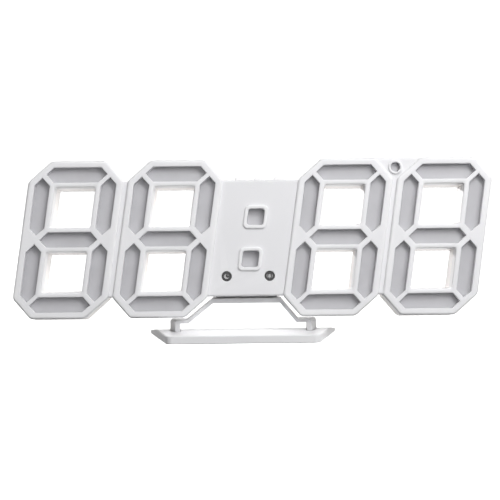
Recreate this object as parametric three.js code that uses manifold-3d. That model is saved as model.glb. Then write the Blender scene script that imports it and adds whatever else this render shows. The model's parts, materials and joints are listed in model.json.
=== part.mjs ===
// LED digital clock on a hinged foot: four slanted figure-eight digits, a centre block and a stand.
// Millimetres, +Z up, the clock faces -Y and the foot plate lies on z = 0.
import * as THREE from "three";
import { mergeVertices } from "three/addons/utils/BufferGeometryUtils.js";
import Module from "manifold-3d";

const wasm = await Module();
wasm.setup();

// Digit grid on the front face, before the slant is applied
const SLANT = 0.14;
const DIGIT_PITCH = 44.7;
const MIDDLE_PITCH = 77;
const DIGIT_HALF_WIDTH = 21.5;
const DIGIT_HALF_HEIGHT = 35.6;
const DIGIT_CHAMFER = 9.3;
const DIGIT_CORNER = 2;
const SEGMENT_U = 14.92;
const SEGMENT_V = 29.2;
const SEGMENT_HALF = 3.35;
const MITRE_OUTER = 0.97;
const MITRE_INNER = 1.58;
const MITRE_MIDDLE = 2;
const COUNTER_HALF_WIDTH = 9.1;
const COUNTER_HALF_HEIGHT = 9.05;

// Case depth, measured backwards from the digits' front faces
const CASE_DEPTH = 15.5;
const SPLIT_DEPTH = 6;
const FACE_STEP = 1;
const FRONT_WALL = 2.8;
const BACK_WALL = 1.8;
const SIDE_WALL = 1.6;
const SIDE_DRAFT = 0.6;
const SIDE_FLARE = 0.4;
const COUNTER_DRAFT = 0.8;
const OUTER_ROUND = 1;
const WINDOW_ROUND = 0.5;
const COUNTER_ROUND = 0.8;
const CLEARANCE = 0.3;

// Centre block, colon, indicators and degree dot
const BLOCK_HALF_HEIGHT = 26.2;
const BLOCK_ROUND = 0.9;
const COLON_V = 9.5;
const COLON_HALF = 3.7;
const COLON_RIM = 1.6;
const COLON_CORNER = 1.2;
const COLON_MARGIN = 1.8;
const RIM_RISE = 0.85;
const INDICATOR_U = 9.7;
const INDICATOR_V = -17.2;
const INDICATOR_RADIUS = 2.3;
const DEGREE_U = 60.3;
const DEGREE_V = 31.35;
const DEGREE_RADIUS = 2.15;
const DEGREE_RIM = 1.05;

// Light stack behind each digit
const DIFFUSER_THICK = 1.2;
const REFLECTOR_DEPTH = 5;
const BOARD_THICK = 1.2;
const LAMP_SIZE = [3.2, 2.6];
const LAMP_RISE = 1;

// Buttons on the centre block's top
const BUTTON_PITCH = 8.85;
const BUTTON_WIDTH = 5.2;
const BUTTON_DEPTH = 3.2;
const BUTTON_RISE = 2;
const BUTTON_FLANGE = 0.6;
const BUTTON_TRAVEL_ROOM = 0.9;

// Main board and back fittings in the centre block
const SCREW_U = 12.8;
const SCREW_DROP = 12.6;
const SCREW_LOW_V = -11;
const SCREW_RADIUS = 1.1;
const SCREW_HEAD_RADIUS = 2.2;
const BOSS_RADIUS = 2.1;
const CELL_V = 1.5;
const CELL_RADIUS = 10;
const CELL_THICK = 3.2;
const HOLDER_FLOOR = 0.6;
const COVER_INSET = 0.5;
const BUZZER_HOLE = 0.9;
const COVER_RADIUS = 11.7;
const SOCKET_RISE = 7.6;
const SOCKET_SIZE = [7.6, 2.7];
const KEYHOLE_RADIUS = 3.4;
const KEYHOLE_SLOT = 1.8;
const KEYHOLE_V = 28.8;

// Stand
const LEAN = THREE.MathUtils.degToRad(6);
const BODY_Y = -9;
const FOOT_GAP = 11;
const HINGE_RISE = 3;
const HINGE_PIN_RADIUS = 1;
const KNUCKLE_RADIUS = 2.3;
const KNUCKLE_WIDTH = 28;
const PIN_SEAT = 3;
const STAND_X = -4.9;
const PLATE_DEPTH = 42;
const PLATE_FRONT_HALF = 34.25;
const PLATE_BACK_HALF = 43.7;
const PLATE_FRONT_CORNER = 3.4;
const PLATE_BACK_CORNER = 0.6;
const PLATE_THICK = 3.7;
const PLATE_BACK_THICK = 1.5;
const PLATE_FLAT_DEPTH = 27;
const STRIP_FRONT = -5.2;
const STRIP_DEPTH = 9.5;
const STRIP_THICK = 1.65;
const STRIP_FLARE = 2.7;
const POST_THICK = 2;
const BAR_GAP = 1.55;
const BAR_THICK = 2.2;
const BAR_ENDS = [-18.5, 11.9];
const EAR_BOTTOM = 7.45;
const EAR_TOP = 9;
const EAR_ENDS = [-29.7, 19.4];
const PAD_RADIUS = 4;
const PAD_THICK = 0.7;

const WHITE = { color: 0xe6e6e8, roughness: 0.42, metalness: 0 };
const DIFFUSE_GREY = { color: 0xdcdcdc, roughness: 0.6, metalness: 0 };
const BOARD_WHITE = { color: 0xd8dcd8, roughness: 0.5, metalness: 0 };
const BOARD_GREEN = { color: 0x1f5a38, roughness: 0.5, metalness: 0 };
const BLACK = { color: 0x161616, roughness: 0.35, metalness: 0 };
const RUBBER = { color: 0x2a2a2a, roughness: 0.9, metalness: 0 };
const STEEL = { color: 0xb4b6b8, roughness: 0.3, metalness: 1 };

const DIGIT_CENTRES = [
  -MIDDLE_PITCH / 2 - DIGIT_PITCH,
  -MIDDLE_PITCH / 2,
  MIDDLE_PITCH / 2,
  MIDDLE_PITCH / 2 + DIGIT_PITCH,
];

// Closed solids from three.js geometry, and back
function solid(geometry) {
  const bare = geometry.clone();
  bare.deleteAttribute("normal");
  bare.deleteAttribute("uv");
  const merged = mergeVertices(bare, 1e-5);
  return new wasm.Manifold(
    new wasm.Mesh({
      numProp: 3,
      vertProperties: new Float32Array(merged.attributes.position.array),
      triVerts: new Uint32Array(merged.index.array),
    }),
  );
}

function geometryOf(shape) {
  const mesh = shape.getMesh();
  const indexed = new THREE.BufferGeometry();
  indexed.setAttribute("position", new THREE.Float32BufferAttribute(mesh.vertProperties, 3));
  indexed.setIndex(Array.from(mesh.triVerts));
  const flat = indexed.toNonIndexed();
  flat.computeVertexNormals();
  return flat;
}

function joined(shapes) {
  return shapes.reduce((sum, shape) => sum.add(shape));
}

function cutBy(shape, cutters) {
  return cutters.reduce((rest, cutter) => rest.subtract(cutter), shape);
}

// Outlines are lists of Vector2 in the clock's face, counter-clockwise: x to the right, y up
function points(pairs) {
  return pairs.map(([x, y]) => new THREE.Vector2(x, y));
}

function slanted(outline, u = 0, v = 0) {
  return outline.map((p) => new THREE.Vector2(p.x + u + SLANT * (p.y + v), p.y + v));
}

function spot(u, v) {
  return new THREE.Vector2(u + SLANT * v, v);
}

function moved(outline, centre) {
  return outline.map((p) => p.clone().add(centre));
}

function rectangle(halfWidth, halfHeight) {
  return points([
    [halfWidth, -halfHeight],
    [halfWidth, halfHeight],
    [-halfWidth, halfHeight],
    [-halfWidth, -halfHeight],
  ]);
}

function octagon(halfWidth, halfHeight, chamfer) {
  return points([
    [halfWidth, chamfer - halfHeight],
    [halfWidth, halfHeight - chamfer],
    [halfWidth - chamfer, halfHeight],
    [chamfer - halfWidth, halfHeight],
    [-halfWidth, halfHeight - chamfer],
    [-halfWidth, chamfer - halfHeight],
    [chamfer - halfWidth, -halfHeight],
    [halfWidth - chamfer, -halfHeight],
  ]);
}

function circle(radius, count = 24) {
  return Array.from({ length: count }, (_, i) => {
    const angle = (2 * Math.PI * i) / count;
    return new THREE.Vector2(radius * Math.cos(angle), radius * Math.sin(angle));
  });
}

// Every corner of an outline rounded by the matching radius (0 keeps it sharp)
function rounded(outline, radii, steps = 4) {
  const result = [];
  outline.forEach((corner, i) => {
    const radius = Array.isArray(radii) ? radii[i] : radii;
    if (radius === 0) {
      result.push(corner.clone());
      return;
    }
    const before = outline[(i + outline.length - 1) % outline.length];
    const after = outline[(i + 1) % outline.length];
    const toBefore = before.clone().sub(corner).normalize();
    const toAfter = after.clone().sub(corner).normalize();
    const half = Math.acos(THREE.MathUtils.clamp(toBefore.dot(toAfter), -1, 1)) / 2;
    const reach = radius / Math.tan(half);
    const inward = toBefore.clone().add(toAfter).normalize();
    const centre = inward.multiplyScalar(radius / Math.sin(half)).add(corner);
    const start = toBefore.multiplyScalar(reach).add(corner).sub(centre);
    const end = toAfter.multiplyScalar(reach).add(corner).sub(centre);
    const turn = Math.atan2(start.cross(end), start.dot(end));
    for (let k = 0; k <= steps; k += 1) {
      result.push(start.clone().rotateAround(new THREE.Vector2(), (turn * k) / steps).add(centre));
    }
  });
  return result;
}

// Outline pushed outwards by a distance (inwards when negative), with mitred corners
function offset(outline, distance) {
  return outline.map((corner, i) => {
    const before = outline[(i + outline.length - 1) % outline.length];
    const after = outline[(i + 1) % outline.length];
    const inDirection = corner.clone().sub(before).normalize();
    const outDirection = after.clone().sub(corner).normalize();
    const normalIn = new THREE.Vector2(inDirection.y, -inDirection.x);
    const normalOut = new THREE.Vector2(outDirection.y, -outDirection.x);
    const mitre = normalIn.add(normalOut).normalize();
    const reach = distance / mitre.dot(normalOut);
    return corner.clone().addScaledVector(mitre, reach);
  });
}

// Solid through outlines at given depths: an extrusion whose rings follow each level's outline
function loft(levels) {
  const ordered = [...levels].sort((a, b) => b.depth - a.depth);
  const base = ordered[0].outline;
  const count = ordered.length - 1;
  const geometry = new THREE.ExtrudeGeometry(new THREE.Shape(base), {
    depth: count,
    steps: count,
    bevelEnabled: false,
  });
  const position = geometry.attributes.position;
  for (let i = 0; i < position.count; i += 1) {
    const level = ordered[Math.round(position.getZ(i))];
    const here = new THREE.Vector2(position.getX(i), position.getY(i));
    let nearest = 0;
    base.forEach((p, k) => {
      if (p.distanceTo(here) < base[nearest].distanceTo(here)) nearest = k;
    });
    const target = level.outline[nearest];
    position.setXYZ(i, target.x, level.depth, target.y);
  }
  return solid(geometry);
}

function prism(outline, front, back) {
  return loft([
    { depth: front, outline },
    { depth: back, outline },
  ]);
}

// Front edge rounded by a quarter circle, straight to the back
function roundedFront(outline, front, back, radius, steps = 3) {
  const levels = [{ depth: back, outline }];
  for (let k = 0; k <= steps; k += 1) {
    const angle = (Math.PI / 2) * (k / steps);
    levels.push({
      depth: front + radius * (1 - Math.cos(angle)),
      outline: offset(outline, -radius * (1 - Math.sin(angle))),
    });
  }
  return loft(levels);
}

// Cutter whose mouth at the front flares by a quarter circle, so that it leaves a rounded edge
function flaredCutter(outline, front, back, radius, taper = 0, steps = 2) {
  const levels = [
    { depth: back, outline: offset(outline, -taper) },
    { depth: front - 1, outline: offset(outline, radius) },
  ];
  for (let k = 0; k <= steps; k += 1) {
    const angle = (Math.PI / 2) * (k / steps);
    levels.push({
      depth: front + radius * (1 - Math.cos(angle)),
      outline: offset(outline, radius * (1 - Math.sin(angle))),
    });
  }
  return loft(levels);
}

function box(low, high) {
  const geometry = new THREE.BoxGeometry(high[0] - low[0], high[1] - low[1], high[2] - low[2]);
  geometry.translate((low[0] + high[0]) / 2, (low[1] + high[1]) / 2, (low[2] + high[2]) / 2);
  return solid(geometry);
}

// Cylinder along X
function rodX(radius, from, to, y, z, sides = 20) {
  const geometry = new THREE.CylinderGeometry(radius, radius, to - from, sides);
  geometry.rotateZ(Math.PI / 2);
  geometry.translate((from + to) / 2, y, z);
  return solid(geometry);
}

// Digit outlines
const digitOutline = octagon(DIGIT_HALF_WIDTH, DIGIT_HALF_HEIGHT, DIGIT_CHAMFER);
const softOutline = rounded(digitOutline, DIGIT_CORNER, 1);

// Window with mitred ends: how far its four end edges would reach on its axis, the end ahead first and
// the left side of each end before the right
function mitredWindow(aheadLeft, aheadRight, backLeft, backRight) {
  const h = SEGMENT_HALF;
  return points([
    [(aheadLeft + aheadRight) / 2, (aheadLeft - aheadRight) / 2],
    [aheadLeft - h, h],
    [h - backLeft, h],
    [-(backLeft + backRight) / 2, (backLeft - backRight) / 2],
    [h - backRight, -h],
    [aheadRight - h, -h],
  ]);
}

function upright(outline) {
  return outline.map((p) => new THREE.Vector2(-p.y, p.x));
}

const levelReach = [MITRE_OUTER, MITRE_INNER, MITRE_MIDDLE].map((gap) => SEGMENT_U - gap);
const [levelOuter, levelInner, levelMiddle] = levelReach;
const uprightV = SEGMENT_V / 2;
const uprightReach = [MITRE_OUTER, MITRE_INNER, MITRE_MIDDLE].map((gap) => uprightV - gap);
const [endOuter, endInner, endMiddle] = uprightReach;
const SEGMENTS = [
  { outline: mitredWindow(levelOuter, levelInner, levelOuter, levelInner), u: 0, v: SEGMENT_V, level: true },
  { outline: mitredWindow(levelMiddle, levelMiddle, levelMiddle, levelMiddle), u: 0, v: 0, level: true },
  { outline: mitredWindow(levelInner, levelOuter, levelInner, levelOuter), u: 0, v: -SEGMENT_V, level: true },
  { outline: upright(mitredWindow(endOuter, endInner, endMiddle, endMiddle)), u: -SEGMENT_U, v: uprightV },
  { outline: upright(mitredWindow(endInner, endOuter, endMiddle, endMiddle)), u: SEGMENT_U, v: uprightV },
  { outline: upright(mitredWindow(endMiddle, endMiddle, endOuter, endInner)), u: -SEGMENT_U, v: -uprightV },
  { outline: upright(mitredWindow(endMiddle, endMiddle, endInner, endOuter)), u: SEGMENT_U, v: -uprightV },
];
const COUNTERS = [SEGMENT_V / 2, -SEGMENT_V / 2];
const counterOutline = rounded(rectangle(COUNTER_HALF_WIDTH, COUNTER_HALF_HEIGHT), 0.8, 2);
const counterWall = rectangle(COUNTER_HALF_WIDTH + SIDE_WALL, COUNTER_HALF_HEIGHT + SIDE_WALL);

// Figure-eight ring between the outer wall and the two counters' walls
function digitRing(centre, front, back, gap) {
  const outer = offset(slanted(digitOutline, centre), -SIDE_WALL - gap);
  return cutBy(
    prism(outer, front, back),
    COUNTERS.map((v) => prism(offset(slanted(counterWall, centre, v), gap), front - 1, back + 1)),
  );
}

const counterCutters = DIGIT_CENTRES.flatMap((centre) =>
  COUNTERS.map((v) =>
    flaredCutter(slanted(counterOutline, centre, v), 0, CASE_DEPTH + 1, COUNTER_ROUND, COUNTER_DRAFT),
  ),
);

// Centre block, webs and the filled gap of the degree dot
const blockHalfWidth = MIDDLE_PITCH / 2 - DIGIT_HALF_WIDTH;
const webHalfWidth = DIGIT_PITCH / 2 - DIGIT_HALF_WIDTH;
const shoulder = DIGIT_HALF_HEIGHT - DIGIT_CHAMFER;
const overlap = 0.75 * SIDE_WALL;
const webCentre = (DIGIT_CENTRES[2] + DIGIT_CENTRES[3]) / 2;
const blockOutline = slanted(rectangle(blockHalfWidth + overlap, BLOCK_HALF_HEIGHT));
const webOutline = rectangle(webHalfWidth + overlap, shoulder - 0.1);
const degreeFill = points([
  [webHalfWidth + overlap, shoulder - 2],
  [webHalfWidth + DIGIT_CHAMFER + overlap, DIGIT_HALF_HEIGHT],
  [-webHalfWidth - DIGIT_CHAMFER - overlap, DIGIT_HALF_HEIGHT],
  [-webHalfWidth - overlap, shoulder - 2],
]);

function connectors(build) {
  return [
    build(blockOutline),
    build(slanted(webOutline, -webCentre)),
    build(slanted(webOutline, webCentre)),
    build(slanted(degreeFill, webCentre)),
  ];
}

// Centre cavity shared by both shells
const cavityOutline = slanted(rectangle(blockHalfWidth - SIDE_WALL, BLOCK_HALF_HEIGHT - SIDE_WALL));
const centreWall = FACE_STEP + FRONT_WALL - CLEARANCE;
const screwRows = [BLOCK_HALF_HEIGHT - SCREW_DROP, SCREW_LOW_V];
const screwSpots = screwRows.flatMap((v) => [spot(-SCREW_U, v), spot(SCREW_U, v)]);
const innerBack = CASE_DEPTH - BACK_WALL;
const coverInner = innerBack - COVER_INSET;
const cellFront = coverInner - CLEARANCE - CELL_THICK;
const mainBoardBack = cellFront - HOLDER_FLOOR - CLEARANCE;
const mainBoardFront = mainBoardBack - BOARD_THICK;
const buttonCentreDepth = innerBack - CLEARANCE - BUTTON_FLANGE - BUTTON_DEPTH / 2;
const headSeat = innerBack - 0.7;

function frontShell() {
  const rear = SPLIT_DEPTH;
  const digits = DIGIT_CENTRES.map((centre) =>
    roundedFront(slanted(softOutline, centre), 0, rear, OUTER_ROUND),
  );
  const joints = connectors((outline) => roundedFront(outline, FACE_STEP, rear, BLOCK_ROUND, 2));
  const rimFront = FACE_STEP - RIM_RISE;
  const colonRim = rounded(slanted(rectangle(COLON_HALF + COLON_RIM, COLON_HALF + COLON_RIM)), 2.2, 4);
  const colonHole = rounded(slanted(rectangle(COLON_HALF, COLON_HALF)), COLON_CORNER, 3);
  const rims = [COLON_V, -COLON_V].map((v) =>
    roundedFront(moved(colonRim, spot(0, v)), rimFront, FACE_STEP + 1, 0.45, 2),
  );
  const degreeSpot = spot(DEGREE_U, DEGREE_V);
  const degreeRim = moved(circle(DEGREE_RADIUS + DEGREE_RIM), degreeSpot);
  rims.push(roundedFront(degreeRim, rimFront, FACE_STEP + 1, 0.4, 2));

  const windows = DIGIT_CENTRES.flatMap((centre) =>
    SEGMENTS.map((s) => flaredCutter(slanted(s.outline, centre + s.u, s.v), 0, FRONT_WALL + 1, WINDOW_ROUND)),
  );
  const holes = [COLON_V, -COLON_V].map((v) =>
    flaredCutter(moved(colonHole, spot(0, v)), rimFront, centreWall + 1, 0.4),
  );
  holes.push(flaredCutter(moved(circle(DEGREE_RADIUS), degreeSpot), rimFront, centreWall + 1, 0.35));
  [-INDICATOR_U, INDICATOR_U].forEach((u) => {
    const rim = moved(circle(INDICATOR_RADIUS), spot(u, INDICATOR_V));
    holes.push(flaredCutter(rim, FACE_STEP, centreWall + 1, 0.35));
  });
  const cavities = DIGIT_CENTRES.map((centre) => digitRing(centre, FRONT_WALL, rear + 1, 0));
  cavities.push(prism(cavityOutline, centreWall, rear + 1));
  cavities.push(prism(moved(circle(DEGREE_RADIUS + 1.2), degreeSpot), centreWall, rear + 1));

  const cuts = [...cavities, ...windows, ...holes, ...counterCutters];
  const shell = cutBy(joined([...digits, ...joints, ...rims]), cuts);
  const bosses = screwSpots.map((p) =>
    prism(moved(circle(BOSS_RADIUS, 12), p), centreWall - 0.4, mainBoardFront - CLEARANCE),
  );
  const bores = screwSpots.map((p) =>
    prism(moved(circle(SCREW_RADIUS + CLEARANCE, 10), p), centreWall + 0.6, mainBoardFront + 1),
  );
  return cutBy(joined([shell, ...bosses]), bores);
}

// Hinge line in the case, under the back of the centre block
const hingeDepth = CASE_DEPTH - KNUCKLE_RADIUS;
const hingeV = HINGE_RISE - BLOCK_HALF_HEIGHT;
const socketV = hingeV + SOCKET_RISE;
const hingeX = spot(0, hingeV).x;
const knuckleHalf = KNUCKLE_WIDTH / 2;
const pinHalf = knuckleHalf + PIN_SEAT;

function backRounded(outline, spread) {
  return loft([
    { depth: SPLIT_DEPTH + CLEARANCE, outline },
    { depth: CASE_DEPTH - 1, outline: offset(outline, spread) },
    { depth: CASE_DEPTH - 0.3, outline: offset(outline, spread - 0.3) },
    { depth: CASE_DEPTH, outline: offset(outline, spread - 1) },
  ]);
}

function keyholeOutline() {
  const slot = points([
    [KEYHOLE_SLOT, 0],
    [KEYHOLE_SLOT, KEYHOLE_RADIUS + 1],
    [-KEYHOLE_SLOT, KEYHOLE_RADIUS + 1],
    [-KEYHOLE_SLOT, 0],
  ]);
  const end = KEYHOLE_SLOT * 0.95;
  return { head: circle(KEYHOLE_RADIUS, 20), slot: rounded(slot, [0, end, end, 0], 4) };
}

const buttonSpots = [-BUTTON_PITCH, 0, BUTTON_PITCH].map((u) => spot(u, BLOCK_HALF_HEIGHT));
const switchTop = BLOCK_HALF_HEIGHT - SIDE_WALL - CLEARANCE - 0.8 - BUTTON_TRAVEL_ROOM;
const wallUnder = BLOCK_HALF_HEIGHT - SIDE_WALL;

function rearShell() {
  const front = SPLIT_DEPTH + CLEARANCE;
  // The outer digits widen to the back, and the inner ones leave room for the stand
  const spreads = [SIDE_FLARE, -SIDE_DRAFT, -SIDE_DRAFT, SIDE_FLARE];
  const digits = DIGIT_CENTRES.map((centre, i) => backRounded(slanted(softOutline, centre), spreads[i]));
  const joints = connectors((outline) => backRounded(outline, -SIDE_DRAFT));
  const cavities = DIGIT_CENTRES.map((centre) => digitRing(centre, front - 1, innerBack, 0));
  cavities.push(prism(cavityOutline, front - 1, innerBack));
  const shell = cutBy(joined([...digits, ...joints]), [...cavities, ...counterCutters]);

  const boardBack = FRONT_WALL + 3 * CLEARANCE + DIFFUSER_THICK + REFLECTOR_DEPTH + BOARD_THICK;
  const pegs = DIGIT_CENTRES.flatMap((centre) =>
    [-1, 1].flatMap((side) =>
      [-1, 1].map((up) =>
        prism(
          slanted(rectangle(1.4, 1.4), centre + side * SEGMENT_U, up * SEGMENT_V * 0.5),
          boardBack + CLEARANCE,
          innerBack + 0.4,
        ),
      ),
    ),
  );
  const bosses = screwSpots.map((p) =>
    prism(moved(circle(BOSS_RADIUS + 1, 12), p), mainBoardBack + CLEARANCE, innerBack + 0.4),
  );
  const notchHalf = KNUCKLE_RADIUS + 0.4;
  const wall = 1.4;
  const hingeBlock = box(
    [hingeX - pinHalf + 1, hingeDepth - notchHalf - wall, 1 - BLOCK_HALF_HEIGHT],
    [hingeX + pinHalf - 1, innerBack + 0.4, hingeV + notchHalf + wall],
  );
  const notch = box(
    [hingeX - knuckleHalf - CLEARANCE, hingeDepth - notchHalf, -BLOCK_HALF_HEIGHT - 2],
    [hingeX + knuckleHalf + CLEARANCE, CASE_DEPTH + 2, hingeV + notchHalf],
  );
  const pinEnds = [hingeX - pinHalf - 2, hingeX + pinHalf + 2];
  const pinBore = rodX(HINGE_PIN_RADIUS + CLEARANCE, ...pinEnds, hingeDepth, hingeV, 16);
  const bores = screwSpots.flatMap((p) => [
    prism(moved(circle(SCREW_RADIUS + CLEARANCE, 10), p), mainBoardBack, CASE_DEPTH),
    prism(moved(circle(SCREW_HEAD_RADIUS + CLEARANCE, 16), p), headSeat, CASE_DEPTH + 1),
  ]);
  const holeHalf = [BUTTON_WIDTH / 2 + CLEARANCE, BUTTON_DEPTH / 2 + CLEARANCE];
  const buttonHoles = buttonSpots.map((p) =>
    box(
      [p.x - holeHalf[0], buttonCentreDepth - holeHalf[1], wallUnder - 0.5],
      [p.x + holeHalf[0], buttonCentreDepth + holeHalf[1], BLOCK_HALF_HEIGHT + 2],
    ),
  );
  const cellSpot = spot(0, CELL_V);
  const coverRing = moved(circle(COVER_RADIUS + CLEARANCE, 40), cellSpot);
  const coverHole = prism(coverRing, innerBack - 1, CASE_DEPTH + 1);
  const lugWays = [140, 320].map((degrees) => {
    const way = rectangle(COVER_RADIUS + 2, 3).map((p) => new THREE.Vector2(Math.max(p.x, 0), p.y));
    const angle = THREE.MathUtils.degToRad(degrees);
    return prism(
      moved(way.map((p) => p.rotateAround(new THREE.Vector2(), angle)), cellSpot),
      innerBack - 1,
      CASE_DEPTH + 1,
    );
  });
  const socketHole = prism(
    moved(rectangle(SOCKET_SIZE[0] / 2 + CLEARANCE, SOCKET_SIZE[1] / 2 + CLEARANCE), spot(0, socketV)),
    innerBack - 1,
    CASE_DEPTH + 1,
  );
  const keyhole = keyholeOutline();
  const keyholes = [DIGIT_CENTRES[0], DIGIT_CENTRES[3]].flatMap((centre) => {
    const place = spot(centre, KEYHOLE_V);
    return [
      prism(moved(keyhole.head, place), innerBack - 1, CASE_DEPTH + 1),
      prism(moved(keyhole.slot, place), innerBack - 1, CASE_DEPTH + 1),
    ];
  });
  return cutBy(joined([shell, ...pegs, ...bosses, hingeBlock]), [
    notch,
    pinBore,
    ...bores,
    ...buttonHoles,
    coverHole,
    ...lugWays,
    socketHole,
    ...keyholes,
  ]);
}

// The back is moulded in five, one behind each digit and one behind the block, with slanted seams
function rearPieces() {
  const whole = rearShell();
  const reach = 2 * DIGIT_PITCH + MIDDLE_PITCH;
  const seams = [-reach, -webCentre, -blockHalfWidth, blockHalfWidth, webCentre, reach];
  return seams.slice(1).map((right, i) => {
    const left = seams[i];
    const band = rectangle((right - left - CLEARANCE) / 2, 2 * DIGIT_HALF_HEIGHT);
    return whole.intersect(prism(slanted(band, (left + right) / 2), 0, 2 * CASE_DEPTH));
  });
}

// Light stack of one digit: diffuser, reflector and lamp board, each clear of the next
const diffuserFront = FRONT_WALL + CLEARANCE;
const reflectorFront = diffuserFront + DIFFUSER_THICK + CLEARANCE;
const lampBoardFront = reflectorFront + REFLECTOR_DEPTH + CLEARANCE;

function digitDiffuser(centre) {
  return digitRing(centre, diffuserFront, diffuserFront + DIFFUSER_THICK, CLEARANCE);
}

function digitReflector(centre) {
  const block = digitRing(centre, reflectorFront, reflectorFront + REFLECTOR_DEPTH, CLEARANCE);
  const wells = SEGMENTS.map((s) =>
    prism(
      offset(slanted(s.outline, centre + s.u, s.v), -0.5),
      reflectorFront - 1,
      reflectorFront + REFLECTOR_DEPTH + 1,
    ),
  );
  return cutBy(block, wells);
}

function lampBoard(centre) {
  const board = digitRing(centre, lampBoardFront, lampBoardFront + BOARD_THICK, CLEARANCE);
  const lamps = SEGMENTS.flatMap((s) =>
    [-5, 5].map((along) => {
      const half = s.level ? LAMP_SIZE : [LAMP_SIZE[1], LAMP_SIZE[0]];
      const shift = s.level ? [along, 0] : [0, along];
      const place = spot(centre + s.u + shift[0], s.v + shift[1]);
      return prism(
        moved(rectangle(half[0] / 2, half[1] / 2), place),
        lampBoardFront - LAMP_RISE,
        lampBoardFront + 0.2,
      );
    }),
  );
  return joined([board, ...lamps]);
}

function colonDiffuser() {
  const outline = slanted(rectangle(COLON_HALF + COLON_MARGIN, COLON_V + COLON_HALF + COLON_MARGIN));
  return prism(rounded(outline, 1, 2), centreWall + CLEARANCE, centreWall + CLEARANCE + DIFFUSER_THICK);
}

// Round lens: a plug in its hole with a wider flange behind the wall
function lens(centre, radius, front) {
  const plug = prism(moved(circle(radius - CLEARANCE), centre), front, centreWall + 0.6);
  const seat = centreWall + CLEARANCE;
  const flange = prism(moved(circle(radius + 0.8), centre), seat, seat + 1);
  return plug.add(flange);
}

function mainBoard() {
  const board = prism(offset(cavityOutline, -CLEARANCE - 0.4), mainBoardFront, mainBoardBack);
  const holes = screwSpots.map((p) =>
    prism(moved(circle(SCREW_RADIUS + CLEARANCE, 10), p), mainBoardFront - 1, mainBoardBack + 1),
  );
  return cutBy(board, holes);
}

function buzzer() {
  const low = COLON_V + COLON_HALF + COLON_MARGIN + CLEARANCE;
  const high = BLOCK_HALF_HEIGHT - SIDE_WALL - CLEARANCE;
  const place = spot(0, (low + high) / 2);
  const radius = (high - low) / 2 - CLEARANCE;
  const body = prism(moved(circle(radius, 16), place), centreWall + 0.8, mainBoardFront - CLEARANCE);
  return body.subtract(prism(moved(circle(BUZZER_HOLE, 10), place), centreWall, centreWall + 2));
}

function buttonCap(p) {
  const plan = rounded(rectangle(BUTTON_WIDTH / 2, BUTTON_DEPTH / 2), 0.7, 2);
  const outer = moved(plan, new THREE.Vector2(p.x, 0));
  const cap = uprightLoft(outer, [
    { height: wallUnder - CLEARANCE - 0.4, inset: 0 },
    { height: BLOCK_HALF_HEIGHT + BUTTON_RISE - 0.4, inset: 0 },
    { height: BLOCK_HALF_HEIGHT + BUTTON_RISE - 0.12, inset: 0.12 },
    { height: BLOCK_HALF_HEIGHT + BUTTON_RISE, inset: 0.4 },
  ]);
  const flange = uprightLoft(offset(outer, BUTTON_FLANGE), [
    { height: wallUnder - CLEARANCE - 0.8, inset: 0 },
    { height: wallUnder - CLEARANCE, inset: 0 },
  ]);
  return cap.add(flange);
}

// Upright loft around the buttons' depth: outline x to the right and y to the back
function uprightLoft(outline, levels) {
  const flipped = outline.map((q) => new THREE.Vector2(q.x, -q.y));
  flipped.reverse();
  const geometry = new THREE.ExtrudeGeometry(new THREE.Shape(flipped), {
    depth: levels.length - 1,
    steps: levels.length - 1,
    bevelEnabled: false,
  });
  const position = geometry.attributes.position;
  for (let i = 0; i < position.count; i += 1) {
    const level = levels[Math.round(position.getZ(i))];
    const ring = offset(flipped, -level.inset);
    let nearest = 0;
    flipped.forEach((q, k) => {
      const here = Math.hypot(q.x - position.getX(i), q.y - position.getY(i));
      const best = Math.hypot(flipped[nearest].x - position.getX(i), flipped[nearest].y - position.getY(i));
      if (here < best) nearest = k;
    });
    position.setXYZ(i, ring[nearest].x, buttonCentreDepth + ring[nearest].y, level.height);
  }
  return solid(geometry);
}

function tactSwitch(p) {
  const lowX = p.x - SLANT * 4 - 2.5;
  const body = box(
    [lowX, mainBoardBack + CLEARANCE, switchTop - 4.5],
    [lowX + 5, innerBack - CLEARANCE, switchTop - 0.5],
  );
  const plunger = box(
    [lowX + 1.4, buttonCentreDepth - 1.1, switchTop - 0.7],
    [lowX + 3.6, buttonCentreDepth + 1.1, switchTop],
  );
  return body.add(plunger);
}

function coinHolder() {
  const place = spot(0, CELL_V);
  const floor = mainBoardBack + CLEARANCE;
  const tray = prism(moved(circle(CELL_RADIUS + 1.3, 20), place), floor, innerBack - 1.6);
  const well = moved(circle(CELL_RADIUS + CLEARANCE, 20), place);
  return tray.subtract(prism(well, floor + HOLDER_FLOOR, innerBack));
}

function coinCell() {
  const place = spot(0, CELL_V);
  const back = cellFront + CELL_THICK;
  const outline = moved(circle(CELL_RADIUS, 20), place);
  return loft([
    { depth: back, outline: offset(outline, -0.3) },
    { depth: back - 0.3, outline },
    { depth: cellFront, outline },
  ]);
}

function batteryCover() {
  const place = spot(0, CELL_V);
  const outline = moved(circle(COVER_RADIUS, 40), place);
  const disc = loft([
    { depth: coverInner, outline },
    { depth: CASE_DEPTH - 0.5, outline },
    { depth: CASE_DEPTH - 0.1, outline: offset(outline, -0.4) },
  ]);
  const lugs = [-1, 1].map((side) =>
    box(
      [place.x + (side > 0 ? CELL_RADIUS + 0.5 : -COVER_RADIUS - 1.6), coverInner - 0.8, place.y - 2.4],
      [place.x + (side > 0 ? COVER_RADIUS + 1.6 : -CELL_RADIUS - 0.5), coverInner + 0.2, place.y + 2.4],
    ),
  );
  const slot = box(
    [place.x - 7, CASE_DEPTH - 0.9, place.y - 0.9],
    [place.x + 7, CASE_DEPTH + 1, place.y + 0.9],
  );
  return joined([disc, ...lugs]).subtract(slot);
}

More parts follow.
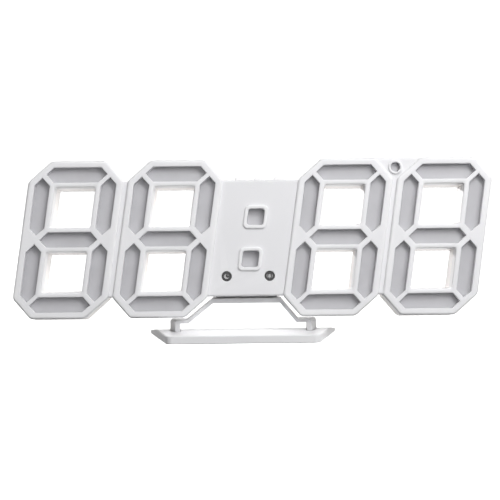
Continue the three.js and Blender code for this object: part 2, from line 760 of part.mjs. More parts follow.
function powerSocket() {
  const place = spot(0, socketV);
  const shellOutline = moved(rectangle(SOCKET_SIZE[0] / 2, SOCKET_SIZE[1] / 2), place);
  const shell = prism(shellOutline, mainBoardBack + CLEARANCE, CASE_DEPTH - 0.4);
  const mouth = prism(offset(shellOutline, -0.35), mainBoardBack + 2.2, CASE_DEPTH + 1);
  const tongue = prism(moved(rectangle(2, 0.4), place), mainBoardBack + 2, CASE_DEPTH - 1.4);
  return shell.subtract(mouth).add(tongue);
}

function caseScrew(p) {
  const head = loft([
    { depth: headSeat + CLEARANCE, outline: moved(circle(SCREW_HEAD_RADIUS, 16), p) },
    { depth: headSeat + CLEARANCE + 0.9, outline: moved(circle(SCREW_HEAD_RADIUS, 16), p) },
    { depth: headSeat + CLEARANCE + 1.4, outline: moved(circle(SCREW_HEAD_RADIUS - 0.6, 16), p) },
  ]);
  const shank = prism(moved(circle(SCREW_RADIUS, 10), p), centreWall + 1, headSeat + CLEARANCE + 0.4);
  const top = headSeat + CLEARANCE;
  const cross = [
    prism(moved(rectangle(1.3, 0.3), p), top + 0.6, top + 3),
    prism(moved(rectangle(0.3, 1.3), p), top + 0.6, top + 3),
  ];
  return cutBy(head.add(shank), cross);
}

function hingePin() {
  return rodX(HINGE_PIN_RADIUS, hingeX - pinHalf, hingeX + pinHalf, hingeDepth, hingeV, 16);
}

// Stand, in the resting frame of the foot
const bodyZ = FOOT_GAP + DIGIT_HALF_HEIGHT * Math.cos(LEAN);
const hingeY = BODY_Y + hingeDepth * Math.cos(LEAN) + hingeV * Math.sin(LEAN);
const hingeZ = bodyZ - hingeDepth * Math.sin(LEAN) + hingeV * Math.cos(LEAN);
const caseUnder = Math.max(BLOCK_HALF_HEIGHT, shoulder) * Math.cos(LEAN);
const barTop = bodyZ - caseUnder - BAR_GAP;
const barBottom = barTop - BAR_THICK;
const plateFront = -PLATE_DEPTH / 2;
const postInner = [-28.85, 29.08];
const postFoot = PLATE_THICK - 0.7;

// Hat profile from the left post over the bar to the right post, as seen from the front
function hatOutline(spread) {
  const armLeft = new THREE.Vector2(BAR_ENDS[0] - EAR_ENDS[0], barBottom - EAR_BOTTOM).normalize();
  const armRight = new THREE.Vector2(EAR_ENDS[1] - BAR_ENDS[1], EAR_BOTTOM - barBottom).normalize();
  const upperLeft = new THREE.Vector2(EAR_ENDS[0], EAR_BOTTOM).add(
    new THREE.Vector2(-armLeft.y, armLeft.x).multiplyScalar(STRIP_THICK),
  );
  const upperRight = new THREE.Vector2(BAR_ENDS[1], barBottom).add(
    new THREE.Vector2(-armRight.y, armRight.x).multiplyScalar(STRIP_THICK),
  );
  const leftAt = (z) => upperLeft.x + ((z - upperLeft.y) * armLeft.x) / armLeft.y;
  const rightAt = (z) => upperRight.x + ((z - upperRight.y) * armRight.x) / armRight.y;
  const leftOuter = STAND_X + postInner[0] - POST_THICK - spread;
  const rightOuter = STAND_X + postInner[1] + POST_THICK + spread;
  const corners = points([
    [STAND_X + postInner[0], postFoot],
    [STAND_X + postInner[0], EAR_BOTTOM],
    [EAR_ENDS[0], EAR_BOTTOM],
    [BAR_ENDS[0], barBottom],
    [BAR_ENDS[1], barBottom],
    [EAR_ENDS[1], EAR_BOTTOM],
    [STAND_X + postInner[1], EAR_BOTTOM],
    [STAND_X + postInner[1], postFoot],
    [rightOuter, postFoot],
    [rightOuter, EAR_TOP],
    [rightAt(EAR_TOP), EAR_TOP],
    [rightAt(barTop), barTop],
    [leftAt(barTop), barTop],
    [leftAt(EAR_TOP), EAR_TOP],
    [leftOuter, EAR_TOP],
    [leftOuter, postFoot],
  ]);
  return rounded(corners, [0, 0.7, 0.9, 0.9, 0.9, 0.9, 0.7, 0, 0, 1.5, 0.9, 0.9, 0.9, 0.9, 1.5, 0], 3);
}

function standBracket() {
  const back = STRIP_FRONT + STRIP_DEPTH;
  const strip = loft([
    { depth: STRIP_FRONT, outline: hatOutline(0) },
    { depth: back, outline: hatOutline(STRIP_FLARE) },
  ]);
  const knuckle = rodX(KNUCKLE_RADIUS, hingeX - knuckleHalf, hingeX + knuckleHalf, hingeY, hingeZ, 24);
  const neck = box(
    [hingeX - knuckleHalf, hingeY - KNUCKLE_RADIUS * 0.9, barTop - 1],
    [hingeX + knuckleHalf, hingeY + KNUCKLE_RADIUS * 0.9, hingeZ],
  );
  const boreEnds = [hingeX - pinHalf - 2, hingeX + pinHalf + 2];
  const bore = rodX(HINGE_PIN_RADIUS + CLEARANCE, ...boreEnds, hingeY, hingeZ, 16);
  return joined([strip, knuckle, neck]).subtract(bore);
}

// Plan of the foot plate, x to the right and y to the back
function platePlan(grow) {
  const corners = points([
    [-PLATE_FRONT_HALF, plateFront],
    [PLATE_FRONT_HALF, plateFront],
    [PLATE_BACK_HALF, plateFront + PLATE_DEPTH],
    [-PLATE_BACK_HALF, plateFront + PLATE_DEPTH],
  ]);
  const radii = [PLATE_FRONT_CORNER, PLATE_FRONT_CORNER, PLATE_BACK_CORNER, PLATE_BACK_CORNER];
  return moved(offset(rounded(corners, radii, 4), grow), new THREE.Vector2(STAND_X, 0));
}

function plateLoft(levels) {
  const base = levels[0].outline;
  const geometry = new THREE.ExtrudeGeometry(new THREE.Shape(base), {
    depth: levels.length - 1,
    steps: levels.length - 1,
    bevelEnabled: false,
  });
  const position = geometry.attributes.position;
  for (let i = 0; i < position.count; i += 1) {
    const level = levels[Math.round(position.getZ(i))];
    const here = new THREE.Vector2(position.getX(i), position.getY(i));
    let nearest = 0;
    base.forEach((p, k) => {
      if (p.distanceTo(here) < base[nearest].distanceTo(here)) nearest = k;
    });
    position.setXYZ(i, level.outline[nearest].x, level.outline[nearest].y, level.height);
  }
  return solid(geometry);
}

const padSpots = [
  [-PLATE_FRONT_HALF + 8, plateFront + 8],
  [PLATE_FRONT_HALF - 8, plateFront + 8],
  [-PLATE_BACK_HALF + 10, plateFront + PLATE_DEPTH - 8],
  [PLATE_BACK_HALF - 10, plateFront + PLATE_DEPTH - 8],
].map(([x, y]) => new THREE.Vector2(STAND_X + x, y));

function footPlate() {
  const slab = plateLoft([
    { height: 0, outline: platePlan(-0.3) },
    { height: 0.3, outline: platePlan(0) },
    { height: PLATE_THICK - 0.4, outline: platePlan(0) },
    { height: PLATE_THICK, outline: platePlan(-0.4) },
  ]);
  const slopeStart = plateFront + PLATE_FLAT_DEPTH;
  const slopeEnd = plateFront + PLATE_DEPTH;
  const fall = (PLATE_THICK - PLATE_BACK_THICK) / (slopeEnd - slopeStart);
  const slope = new THREE.Shape(
    points([
      [slopeStart, PLATE_THICK],
      [slopeEnd + 2, PLATE_BACK_THICK - 2 * fall],
      [slopeEnd + 2, PLATE_THICK + 5],
      [slopeStart, PLATE_THICK + 5],
    ]),
  );
  const wedge = new THREE.ExtrudeGeometry(slope, { depth: 4 * PLATE_BACK_HALF, bevelEnabled: false });
  wedge.rotateX(Math.PI / 2);
  wedge.rotateZ(Math.PI / 2);
  wedge.translate(STAND_X - 2 * PLATE_BACK_HALF, 0, 0);
  const sockets = [-1, 1].map((side) => {
    const inner = STAND_X + (side < 0 ? postInner[0] : postInner[1]);
    const plan = points([
      [inner, STRIP_FRONT],
      [inner + side * POST_THICK, STRIP_FRONT],
      [inner + side * (POST_THICK + STRIP_FLARE), STRIP_FRONT + STRIP_DEPTH],
      [inner, STRIP_FRONT + STRIP_DEPTH],
    ]);
    const outline = offset(side > 0 ? plan : plan.reverse(), CLEARANCE);
    return plateLoft([
      { height: postFoot - CLEARANCE, outline },
      { height: PLATE_THICK + 1, outline },
    ]);
  });
  const recesses = padSpots.map((p) => {
    const outline = moved(circle(PAD_RADIUS + CLEARANCE, 20), p);
    return plateLoft([
      { height: -1, outline },
      { height: PAD_THICK + CLEARANCE, outline },
    ]);
  });
  return cutBy(slab, [solid(wedge), ...sockets, ...recesses]);
}

function footPad(p) {
  const outline = moved(circle(PAD_RADIUS, 20), p);
  return plateLoft([
    { height: 0, outline },
    { height: PAD_THICK, outline },
  ]);
}

// Scene graph: the leaning case and the upright stand
const clock = new THREE.Group();
const body = new THREE.Group();
body.position.set(0, BODY_Y, bodyZ);
body.rotation.x = -LEAN;
clock.add(body);

function addMesh(group, name, shape, look) {
  const mesh = new THREE.Mesh(geometryOf(shape), new THREE.MeshStandardMaterial(look));
  mesh.name = name;
  group.add(mesh);
}

addMesh(body, "front_shell", frontShell(), WHITE);
const rearNames = ["rear_digit_1", "rear_digit_2", "rear_shell", "rear_digit_3", "rear_digit_4"];
rearPieces().forEach((piece, i) => addMesh(body, rearNames[i], piece, WHITE));
DIGIT_CENTRES.forEach((centre, i) => {
  addMesh(body, `digit_diffuser_${i + 1}`, digitDiffuser(centre), DIFFUSE_GREY);
  addMesh(body, `reflector_${i + 1}`, digitReflector(centre), WHITE);
  addMesh(body, `led_board_${i + 1}`, lampBoard(centre), BOARD_WHITE);
});
addMesh(body, "colon_diffuser", colonDiffuser(), DIFFUSE_GREY);
addMesh(body, "degree_lens", lens(spot(DEGREE_U, DEGREE_V), DEGREE_RADIUS, FRONT_WALL), DIFFUSE_GREY);
const indicatorFront = FACE_STEP + 0.6;
const indicatorSpots = [spot(-INDICATOR_U, INDICATOR_V), spot(INDICATOR_U, INDICATOR_V)];
addMesh(body, "indicator_left", lens(indicatorSpots[0], INDICATOR_RADIUS, indicatorFront), BLACK);
addMesh(body, "indicator_right", lens(indicatorSpots[1], INDICATOR_RADIUS, indicatorFront), BLACK);
addMesh(body, "main_board", mainBoard(), BOARD_GREEN);
addMesh(body, "buzzer", buzzer(), BLACK);
["left", "middle", "right"].forEach((side, i) => {
  addMesh(body, `button_${side}`, buttonCap(buttonSpots[i]), WHITE);
  addMesh(body, `switch_${side}`, tactSwitch(buttonSpots[i]), BLACK);
});
addMesh(body, "coin_holder", coinHolder(), BLACK);
addMesh(body, "coin_cell", coinCell(), STEEL);
addMesh(body, "battery_cover", batteryCover(), WHITE);
addMesh(body, "power_socket", powerSocket(), STEEL);
screwSpots.forEach((p, i) => addMesh(body, `case_screw_${i + 1}`, caseScrew(p), STEEL));
addMesh(body, "hinge_pin", hingePin(), STEEL);
addMesh(clock, "stand_bracket", standBracket(), WHITE);
addMesh(clock, "foot_plate", footPlate(), WHITE);
padSpots.forEach((p, i) => addMesh(clock, `foot_pad_${i + 1}`, footPad(p), RUBBER));

export default clock;
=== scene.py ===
"""White LED clock: four slanted see-through digits, a colon block and a folding foot.

Lengths are in metres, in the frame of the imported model: +X along the row of digits, which face -Y, +Z up.
"""
import json
import math

import bmesh
import bpy
from mathutils import Matrix, Vector


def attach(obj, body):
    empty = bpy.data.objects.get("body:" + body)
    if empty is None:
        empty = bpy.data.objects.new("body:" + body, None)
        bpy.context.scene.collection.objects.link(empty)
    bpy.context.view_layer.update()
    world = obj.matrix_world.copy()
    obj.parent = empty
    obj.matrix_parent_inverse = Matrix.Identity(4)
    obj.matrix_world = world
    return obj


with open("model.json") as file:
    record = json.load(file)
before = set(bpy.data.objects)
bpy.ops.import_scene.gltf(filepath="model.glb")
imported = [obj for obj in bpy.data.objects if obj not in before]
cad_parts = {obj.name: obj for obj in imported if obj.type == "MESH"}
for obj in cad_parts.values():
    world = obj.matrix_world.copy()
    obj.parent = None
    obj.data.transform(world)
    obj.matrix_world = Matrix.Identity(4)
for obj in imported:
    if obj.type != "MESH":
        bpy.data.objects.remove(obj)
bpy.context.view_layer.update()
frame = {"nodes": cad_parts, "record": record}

MM = 0.001

# Where the digit faces stand: a point u to the right, v up the lean and w back from the faces
BODY_LEAN = math.radians(6)
BODY_SLANT = 0.14
BODY_Y = -9 * MM
BODY_Z = 46.4 * MM

# The two round indicator windows and the printed signs on them
SIGN_U = 9.7 * MM
SIGN_V = -17.2 * MM
LENS_DEPTH = 1.6 * MM
SIGN_PROUD = 0.04 * MM
SIGN_SUNK = 0.02 * MM
MOON_RADIUS = 1.15
MOON_TILT = 32
BITE_RADIUS = 0.92
BITE_SHIFT = 0.52
STAR_PLACE = (0.62, 0.5)
STAR_REACH = 0.42
STAR_WAIST = 0.13
BELL_RADIUS = 0.5
BELL_HALF_WIDTH = 0.82
DOME_MIDDLE = 0.35
SKIRT_TOP = -0.1
LIP_TOP = -0.48
LIP_BOTTOM = -0.62
CLAPPER_MIDDLE = -0.74
CLAPPER_RADIUS = 0.26
RING_RADII = (1.12, 1.32)
RING_TURN = 34

# The camera, with the photograph's frame of 500 by 500 pixels
IMAGE_PIXELS = 500
FOCAL_PIXELS = 1423
SENSOR_WIDTH = 36
CAMERA_PLACE = Vector((-6.6, -648.64, 81.96)) * MM
CAMERA_PITCH = math.radians(3.693)
CAMERA_YAW = math.radians(0.482)
CAMERA_ROLL = math.radians(0.62)
HALF_PIXEL = 0.5 / IMAGE_PIXELS

# The studio: lobes of soft light from all round as (way, colour, strength, narrowness)
COOL = (0.99, 0.99, 1.0)
WARM = (1.0, 0.978, 0.962)
LOBES = [
    ((0.485, -0.84, 0.242), COOL, 0.72, 3),
    ((0, 1, 0), WARM, 1.3, 24),
    ((0.34, 0.94, 0), WARM, 0.6, 24),
    ((0.3, 0.9, -0.32), WARM, 2.9, 24),
    ((0, 0.94, -0.34), WARM, 4.2, 24),
]
# Soft boxes round the clock as (name, degrees to the right, degrees up, power, distance)
NEAR = 0.6
FAR = 1.2
BOX_SHARE = 0.29
BOXES = [
    ("key_low", 15, 25, 0.29, NEAR),
    ("key", 40, 25, 0.85, NEAR),
    ("key_high", 25, 45, 1.32, NEAR),
    ("fill", -35, 40, 0.34, NEAR),
    ("top", 0, 65, 0.55, NEAR),
    ("rim_right", 150, 30, 1.5, FAR),
    ("rim_low", 180, 8, 0.9, FAR),
]
# Narrow lamps from behind for the inner walls, as (name, degrees to the right, degrees up, power, aim)
SPOT_CONE = math.radians(6.4)
SPOT_RADIUS = 0.04
SPOTS = [
    ("walls_right", -157, 6, 10, Vector((62, 0, 48)) * MM),
    ("walls_left", 157, 6, 9, Vector((-62, 0, 48)) * MM),
]
# The cove, a floor that turns up into a wall all round
COVE_FLAT = 1.8
COVE_ROUND = 0.9
COVE_WALL = 1.6
COVE_GLOW = 1.0
COVE_ROUGHNESS = 0.9
COVE_GREYS = ((0.90, 0.90, 0.90), (0.92, 0.92, 0.92))
COVE_PATCHES = 3
COVE_TURN_STEPS = 64
COVE_WELD_GAP = 0.0001

# Colours of the finishes; where three are given, the first is painted shade for hollows and the last a
# painted highlight for crests
COOL_WHITE = ((0.767, 0.766, 0.783), (0.802, 0.801, 0.818), (0.84, 0.84, 0.848))
# Rear shell white made paler and warmer than the front's: painted backlight on the same white plastic
BACKLIT_WHITE = ((0.910, 0.876, 0.858), (0.940, 0.908, 0.890), (0.95, 0.925, 0.91))
BLACK = ((0.014, 0.014, 0.014), (0.02, 0.02, 0.02), (0.05, 0.05, 0.05))
MILK = ((0.452, 0.449, 0.468), (0.483, 0.480, 0.500))
SMOKE = ((0.010, 0.010, 0.012), (0.022, 0.022, 0.026))
INK = ((0.28, 0.28, 0.29), (0.52, 0.52, 0.52))
LAMP_LACQUER = ((0.66, 0.68, 0.66), (0.76, 0.78, 0.76))
GREEN_LACQUER = ((0.02, 0.10, 0.045), (0.03, 0.16, 0.07))
STEEL = ((0.52, 0.52, 0.53), (0.68, 0.68, 0.69))
FOAM = ((0.02, 0.02, 0.02), (0.06, 0.06, 0.06))

# Fineness of the patterns in the finishes, in waves per metre
FLOW_MARKS = 55
CLOUDS = 130
BOARD_TRACKS = 160
BOARD_SHEEN = 300
MILK_SHEEN = 500
SMOKE_CLOUDS = 600
SPECKS = 700
WIPE_MARKS = 1500
PORES = 1800
MILK_GRAIN = 1800
STAND_GRAIN = 2200
DRAWN_LINES = 2500
CASE_GRAIN = 2600
BUTTON_GRAIN = 3000
LENS_GRAIN = 3000
INK_PATCHES = 4000
INK_SHEEN = 5000
INK_GRAIN = 9000

# Plastic painted paler on its crests and darker in its hollows: a painted highlight and painted shade
PLASTIC_IOR = 1.46
HOLLOW_EDGE = 0.47
CREST_EDGE = 0.53
CREST_START = 0.25

# Edges that the solids leave sharp
WELD_GAP = 1e-6
SHARP_ANGLE = math.radians(38)


def on_body(u, v, w):
    """Place of a point of the case: u right, v up the lean, w back from the digit faces."""
    return Vector((
        u + BODY_SLANT * v,
        BODY_Y + w * math.cos(BODY_LEAN) + v * math.sin(BODY_LEAN),
        BODY_Z - w * math.sin(BODY_LEAN) + v * math.cos(BODY_LEAN),
    ))


# Node helpers


def add_node(tree, kind, inputs=None, **settings):
    """A node of a kind, with its settings, and its inputs as constants or links from other sockets."""
    node = tree.nodes.new(kind)
    for name, value in settings.items():
        setattr(node, name, value)
    for name, value in (inputs or {}).items():
        if isinstance(value, bpy.types.NodeSocket):
            tree.links.new(value, node.inputs[name])
        else:
            node.inputs[name].default_value = value
    return node


def noise(tree, place, scale, detail=2.0, roughness=0.5):
    """The grey value of a noise that follows the piece."""
    settings = {"Vector": place, "Scale": scale, "Detail": detail, "Roughness": roughness}
    return add_node(tree, "ShaderNodeTexNoise", settings).outputs["Fac"]


def spread(tree, value, low, high, start=0.3, end=0.7):
    """Maps a grey value from start and end to low and high."""
    settings = {"Value": value, "From Min": start, "From Max": end, "To Min": low, "To Max": high}
    return add_node(tree, "ShaderNodeMapRange", settings).outputs["Result"]


def ramp(tree, value, stops):
    """A colour ramp with stops of (position, colour)."""
    node = add_node(tree, "ShaderNodeValToRGB", {"Fac": value})
    elements = node.color_ramp.elements
    while len(elements) < len(stops):
        elements.new(0.5)
    for element, (position, colour) in zip(elements, stops):
        element.position = position
        element.color = (*colour, 1)
    return node.outputs["Color"]


def new_material(name):
    """An empty procedural material: its tree, shader and object coordinates."""
    material = bpy.data.materials.new(name)
    material.use_nodes = True
    tree = material.node_tree
    shader = tree.nodes["Principled BSDF"]
    place = tree.nodes.new("ShaderNodeTexCoord").outputs["Object"]
    return material, tree, shader, place


def bump(tree, shader, height, depth, strength):
    """Lets a grey value raise the surface by up to depth."""
    node = add_node(tree, "ShaderNodeBump", {"Height": height, "Distance": depth, "Strength": strength})
    tree.links.new(node.outputs["Normal"], shader.inputs["Normal"])


def paint(tree, shader, colour, roughness):
    """Gives the shader its colour and roughness."""
    tree.links.new(colour, shader.inputs["Base Color"])
    tree.links.new(roughness, shader.inputs["Roughness"])


def moulded(name, deep, main, crest, rough, grain=CASE_GRAIN):
    """Satin injection-moulded plastic: faint flow mottling, fine mould grain, a painted highlight on edges
    and painted shade in hollows.
    """
    material, tree, shader, place = new_material(name)
    flow = noise(tree, place, FLOW_MARKS, detail=4)
    speck = noise(tree, place, SPECKS, detail=2)
    edge = tree.nodes.new("ShaderNodeNewGeometry").outputs["Pointiness"]
    # painted shade in hollows and painted highlight on crests, taken from the surface's pointiness
    painted_light_mask = spread(tree, edge, 0.0, 1.0, HOLLOW_EDGE, CREST_EDGE)
    blend = add_node(tree, "ShaderNodeMath", {0: flow, 1: painted_light_mask, 2: CREST_START}, operation="MULTIPLY_ADD")
    colour = ramp(tree, blend.outputs[0], [(0.2, deep), (0.5, main), (0.85, crest)])
    paint(tree, shader, colour, spread(tree, speck, rough - 0.05, rough + 0.06))
    shader.inputs["IOR"].default_value = PLASTIC_IOR
    bump(tree, shader, noise(tree, place, grain, detail=3, roughness=0.6), 0.012 * MM, 0.5)
    return material


def milky(name):
    """Milky diffuser plastic: smooth, slightly cloudy, with light spread inside."""
    material, tree, shader, place = new_material(name)
    colour = ramp(tree, noise(tree, place, CLOUDS, detail=3), [(0.3, MILK[0]), (0.7, MILK[1])])
    paint(tree, shader, colour, spread(tree, noise(tree, place, MILK_SHEEN), 0.42, 0.54))
    shader.inputs["Subsurface Weight"].default_value = 0.15
    shader.inputs["Subsurface Radius"].default_value = (1, 1, 1)
    shader.inputs["Subsurface Scale"].default_value = 0.6 * MM
    bump(tree, shader, noise(tree, place, MILK_GRAIN, detail=2), 0.006 * MM, 0.4)
    return material


def smoked(name):
    """Smoked gloss lens."""
    material, tree, shader, place = new_material(name)
    colour = ramp(tree, noise(tree, place, SMOKE_CLOUDS), [(0.3, SMOKE[0]), (0.7, SMOKE[1])])
    paint(tree, shader, colour, spread(tree, noise(tree, place, WIPE_MARKS, detail=4), 0.10, 0.22))
    shader.inputs["Coat Weight"].default_value = 0.4
    shader.inputs["Coat Roughness"].default_value = 0.08
    bump(tree, shader, noise(tree, place, LENS_GRAIN), 0.003 * MM, 0.3)
    return material


def printed(name):
    """Screen-printed white ink."""
    material, tree, shader, place = new_material(name)
    colour = ramp(tree, noise(tree, place, INK_PATCHES, detail=3), [(0.35, INK[0]), (0.6, INK[1])])
    paint(tree, shader, colour, spread(tree, noise(tree, place, INK_SHEEN), 0.45, 0.65))
    bump(tree, shader, noise(tree, place, INK_GRAIN), 0.004 * MM, 0.5)
    return material


def board(name, deep, main, rough):
    """Lacquered circuit board with faint tracks under the lacquer."""
    material, tree, shader, place = new_material(name)
    tracks = add_node(tree, "ShaderNodeTexBrick", {
        "Vector": place,
        "Scale": BOARD_TRACKS,
        "Mortar Size": 0.06,
        "Mortar Smooth": 0.2,
        "Bias": 0.0,
        "Color1": (*main, 1),
        "Color2": (*deep, 1),
        "Mortar": (*deep, 1),
    })
    sheen = spread(tree, noise(tree, place, BOARD_SHEEN), rough, rough + 0.12)
    paint(tree, shader, tracks.outputs["Color"], sheen)
    bump(tree, shader, tracks.outputs["Fac"], 0.03 * MM, 0.6)
    return material


def plated(name):
    """Plated steel with fine drawn lines."""
    material, tree, shader, place = new_material(name)
    drawn = add_node(tree, "ShaderNodeMapping", {"Vector": place, "Scale": (1, 0.15, 1)}).outputs["Vector"]
    lines = noise(tree, drawn, DRAWN_LINES, detail=4)
    colour = ramp(tree, lines, [(0.3, STEEL[0]), (0.7, STEEL[1])])
    paint(tree, shader, colour, spread(tree, lines, 0.24, 0.40))
    shader.inputs["Metallic"].default_value = 1
    bump(tree, shader, lines, 0.006 * MM, 0.4)
    return material


def rubber(name):
    """Matt foam rubber with open pores."""
    material, tree, shader, place = new_material(name)
    pores = add_node(tree, "ShaderNodeTexVoronoi", {"Vector": place, "Scale": PORES}).outputs["Distance"]
    colour = ramp(tree, pores, [(0.1, FOAM[0]), (0.6, FOAM[1])])
    paint(tree, shader, colour, spread(tree, pores, 0.75, 0.92, 0.1, 0.7))
    bump(tree, shader, pores, 0.05 * MM, 0.6)
    return material


def make_materials():
    """One finish for each material slot of the record, and the ink of the signs."""
    return {
        "white_plastic": moulded("white_finish", *COOL_WHITE, rough=0.42),
        # paler, warmer white on the rear shell: painted backlight
        "back_plastic": moulded("back_finish", *BACKLIT_WHITE, rough=0.44),
        "stand_plastic": moulded("stand_finish", *COOL_WHITE, rough=0.46, grain=STAND_GRAIN),
        "button_plastic": moulded("button_finish", *COOL_WHITE, rough=0.38, grain=BUTTON_GRAIN),
        "black_plastic": moulded("black_finish", *BLACK, rough=0.5),
        "diffuser_plastic": milky("diffuser_finish"),
        "lamp_board": board("lamp_board_finish", *LAMP_LACQUER, rough=0.35),
        "circuit_board": board("circuit_board_finish", *GREEN_LACQUER, rough=0.3),
        "indicator_lens": smoked("indicator_finish"),
        "pad_rubber": rubber("pad_finish"),
        "steel": plated("steel_finish"),
        "sign_ink": printed("sign_finish"),
    }


# Shapes


def soft_normals():
    """A node group that welds a solid's facets and shades its shallow edges smooth."""
    group = bpy.data.node_groups.new("soft_normals", "GeometryNodeTree")
    group.interface.new_socket("Geometry", in_out="INPUT", socket_type="NodeSocketGeometry")
    group.interface.new_socket("Geometry", in_out="OUTPUT", socket_type="NodeSocketGeometry")
    start = group.nodes.new("NodeGroupInput")
    facets = {"Geometry": start.outputs[0], "Distance": WELD_GAP}
    weld = add_node(group, "GeometryNodeMergeByDistance", facets)
    angle = add_node(group, "GeometryNodeInputMeshEdgeAngle").outputs["Unsigned Angle"]
    sharp = add_node(group, "ShaderNodeMath", {0: angle, 1: SHARP_ANGLE}, operation="GREATER_THAN")
    shade = add_node(group, "GeometryNodeSetMeshNormal", mode="SHARPNESS")
    group.links.new(weld.outputs["Geometry"], shade.inputs["Mesh"])
    shade.inputs["Remove Custom"].default_value = True
    group.links.new(sharp.outputs[0], shade.inputs["Edge Sharpness"])
    end = group.nodes.new("NodeGroupOutput")
    group.links.new(shade.outputs["Mesh"], end.inputs[0])
    return group


def finish_nodes(materials):
    """Gives each solid its finish and soft shading."""
    group = soft_normals()
    for part in frame["record"]["subparts"]:
        solid = frame["nodes"][part["node"]]
        solid.material_slots[0].material = materials[part["material_slot"]]
        solid.modifiers.new("soft_normals", "NODES").node_group = group
        flat = solid.modifiers.new("flat_faces", "WEIGHTED_NORMAL")
        flat.keep_sharp = True


def arc(centre_u, centre_v, radius, start, end, steps):
    """Points on an arc, angles in degrees."""
    points = []
    for i in range(steps + 1):
        angle = math.radians(start + (end - start) * i / steps)
        points.append((centre_u + radius * math.cos(angle), centre_v + radius * math.sin(angle)))
    return points


def moon_outline():
    """A tilted crescent with a star in its opening, in millimetres."""
    meet = (MOON_RADIUS ** 2 - BITE_RADIUS ** 2 + BITE_SHIFT ** 2) / (2 * BITE_SHIFT)
    outer_turn = math.degrees(math.acos(meet / MOON_RADIUS))
    inner_turn = math.degrees(math.acos((meet - BITE_SHIFT) / BITE_RADIUS))
    tilt = math.radians(MOON_TILT)
    bite = (BITE_SHIFT * math.cos(tilt), BITE_SHIFT * math.sin(tilt))
    outer = arc(0, 0, MOON_RADIUS, MOON_TILT + outer_turn, MOON_TILT + 360 - outer_turn, 28)
    inner = arc(*bite, BITE_RADIUS, MOON_TILT + 360 - inner_turn, MOON_TILT + inner_turn, 20)
    tips = arc(*STAR_PLACE, STAR_REACH, 90, 360, 3)
    waists = arc(*STAR_PLACE, STAR_WAIST, 135, 405, 3)
    star = [point for pair in zip(tips, waists) for point in pair]
    return [outer + inner[1:-1], star]


def bell_outline():
    """A ringing bell: dome and skirt, clapper and a sound mark on each side, in millimetres."""
    dome = arc(0, DOME_MIDDLE, BELL_RADIUS, 0, 180, 16)
    rim = [(-BELL_RADIUS, SKIRT_TOP), (-BELL_HALF_WIDTH, LIP_TOP), (-BELL_HALF_WIDTH, LIP_BOTTOM)]
    skirt = rim + [(-u, v) for u, v in reversed(rim)]
    clapper = arc(0, CLAPPER_MIDDLE, CLAPPER_RADIUS, 180, 360, 10)
    marks = []
    for middle in (0, 180):
        near = arc(0, 0, RING_RADII[0], middle - RING_TURN, middle + RING_TURN, 8)
        far = arc(0, 0, RING_RADII[1], middle + RING_TURN, middle - RING_TURN, 8)
        marks.append(near + far)
    return [dome + skirt, clapper, *marks]


def make_sign(name, outlines, u, ink):
    """A thin printed sign on an indicator lens, riding on the case."""
    mesh = bpy.data.meshes.new(name)
    work = bmesh.new()
    across = Vector((1, 0, 0))
    upward = Vector((0, math.sin(BODY_LEAN), math.cos(BODY_LEAN)))
    base = on_body(u, SIGN_V, LENS_DEPTH + SIGN_SUNK)
    front = on_body(u, SIGN_V, LENS_DEPTH - SIGN_PROUD) - base
    for outline in outlines:
        corners = [work.verts.new(base + across * x * MM + upward * z * MM) for x, z in outline]
        sheet = work.faces.new(corners)
        raised = bmesh.ops.extrude_face_region(work, geom=[sheet])["geom"]
        tops = [part for part in raised if isinstance(part, bmesh.types.BMVert)]
        bmesh.ops.translate(work, verts=tops, vec=front)
    bmesh.ops.recalc_face_normals(work, faces=work.faces)
    work.to_mesh(mesh)
    work.free()
    sign = bpy.data.objects.new(name, mesh)
    bpy.context.scene.collection.objects.link(sign)
    mesh.materials.append(ink)
    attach(sign, "case")


# Studio


def make_cove():
    """A pale floor that turns up into a wall all round."""
    material, tree, shader, place = new_material("cove")
    colour = ramp(tree, noise(tree, place, COVE_PATCHES), [(0.3, COVE_GREYS[0]), (0.7, COVE_GREYS[1])])
    tree.links.new(colour, shader.inputs["Base Color"])
    shader.inputs["Roughness"].default_value = COVE_ROUGHNESS
    shader.inputs["Emission Color"].default_value = (1, 1, 1, 1)
    shader.inputs["Emission Strength"].default_value = COVE_GLOW
    mesh = bpy.data.meshes.new("cove")
    work = bmesh.new()
    profile = [(0, 0), (COVE_FLAT / 2, 0)]
    profile += arc(COVE_FLAT, COVE_ROUND, COVE_ROUND, 270, 360, 12)
    profile.append((COVE_FLAT + COVE_ROUND, COVE_ROUND + COVE_WALL))
    line = [work.verts.new((x, 0, z)) for x, z in profile]
    edges = [work.edges.new(pair) for pair in zip(line, line[1:])]
    bmesh.ops.spin(
        work,
        geom=line + edges,
        cent=(0, 0, 0),
        axis=(0, 0, 1),
        angle=math.tau,
        steps=COVE_TURN_STEPS,
        use_merge=True,
    )
    bmesh.ops.remove_doubles(work, verts=work.verts, dist=COVE_WELD_GAP)
    bmesh.ops.recalc_face_normals(work, faces=work.faces)
    for face in work.faces:
        face.smooth = True
    work.to_mesh(mesh)
    work.free()
    cove = bpy.data.objects.new("cove", mesh)
    bpy.context.scene.collection.objects.link(cove)
    mesh.materials.append(material)
    cove.visible_diffuse = False
    cove.visible_shadow = False


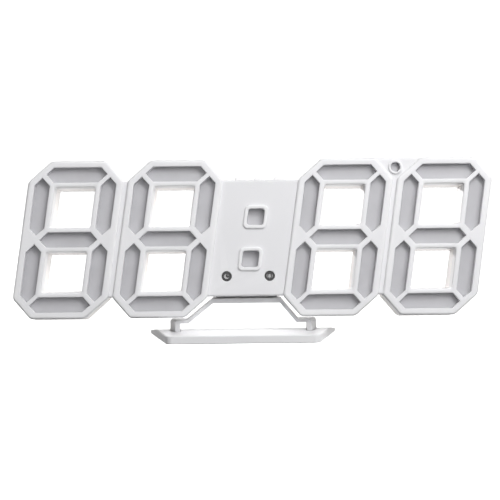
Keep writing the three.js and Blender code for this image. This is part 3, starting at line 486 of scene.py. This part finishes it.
def make_world():
    """Soft light from all round, the sum of a few lobes."""
    world = bpy.data.worlds.new("studio")
    world.use_nodes = True
    tree = world.node_tree
    way = tree.nodes.new("ShaderNodeTexCoord").outputs["Generated"]
    total = None
    for axis, colour, strength, narrowness in LOBES:
        facing = add_node(tree, "ShaderNodeVectorMath", {0: way, 1: axis}, operation="DOT_PRODUCT")
        front = add_node(tree, "ShaderNodeMath", {0: facing.outputs["Value"], 1: 0.0}, operation="MAXIMUM")
        lobe = add_node(tree, "ShaderNodeMath", {0: front.outputs[0], 1: narrowness}, operation="POWER")
        tint = tuple(strength * part for part in colour)
        glow = add_node(tree, "ShaderNodeVectorMath", {0: lobe.outputs[0], 1: tint}, operation="MULTIPLY")
        if total is not None:
            pair = {0: glow.outputs["Vector"], 1: total.outputs["Vector"]}
            glow = add_node(tree, "ShaderNodeVectorMath", pair, operation="ADD")
        total = glow
    tree.links.new(total.outputs["Vector"], tree.nodes["Background"].inputs["Color"])
    bpy.context.scene.world = world


def place_lamp(name, lamp, right, up, aim, distance):
    """Sets up a lamp that faces a point from a way given in degrees to the right and up."""
    light = bpy.data.objects.new(name, lamp)
    side = math.radians(right)
    height = math.radians(up)
    level = math.cos(height)
    way = Vector((level * math.sin(side), -level * math.cos(side), math.sin(height)))
    light.location = aim + distance * way
    light.rotation_euler = (-way).to_track_quat("-Z", "Y").to_euler()
    bpy.context.scene.collection.objects.link(light)


def make_box(name, right, up, power, distance):
    """A square soft box that faces the clock, as wide as a share of its distance."""
    lamp = bpy.data.lights.new(name, "AREA")
    lamp.shape = "SQUARE"
    lamp.size = BOX_SHARE * distance
    lamp.energy = power
    place_lamp(name, lamp, right, up, Vector((0, 0, BODY_Z)), distance)


def make_spot(name, right, up, power, aim):
    """A narrow warm lamp."""
    lamp = bpy.data.lights.new(name, "SPOT")
    lamp.color = WARM
    lamp.energy = power
    lamp.spot_size = SPOT_CONE
    lamp.shadow_soft_size = SPOT_RADIUS
    place_lamp(name, lamp, right, up, aim, FAR)


def make_camera():
    """The photograph's view."""
    lens = bpy.data.cameras.new("camera")
    lens.sensor_width = SENSOR_WIDTH
    lens.lens = FOCAL_PIXELS * SENSOR_WIDTH / IMAGE_PIXELS
    lens.shift_x = -HALF_PIXEL
    lens.shift_y = HALF_PIXEL
    camera = bpy.data.objects.new("camera", lens)
    yaw = Matrix.Rotation(-CAMERA_YAW, 4, "Z")
    pitch = Matrix.Rotation(math.pi / 2 - CAMERA_PITCH, 4, "X")
    roll = Matrix.Rotation(-CAMERA_ROLL, 4, "Z")
    camera.matrix_world = Matrix.Translation(CAMERA_PLACE) @ yaw @ pitch @ roll
    bpy.context.scene.collection.objects.link(camera)
    bpy.context.scene.camera = camera


materials = make_materials()
finish_nodes(materials)
make_sign("sign_left", moon_outline(), -SIGN_U, materials["sign_ink"])
make_sign("sign_right", bell_outline(), SIGN_U, materials["sign_ink"])
make_cove()
make_world()
for box in BOXES:
    make_box(*box)
for spot in SPOTS:
    make_spot(*spot)
make_camera()
bpy.context.scene.view_settings.view_transform = "Standard"
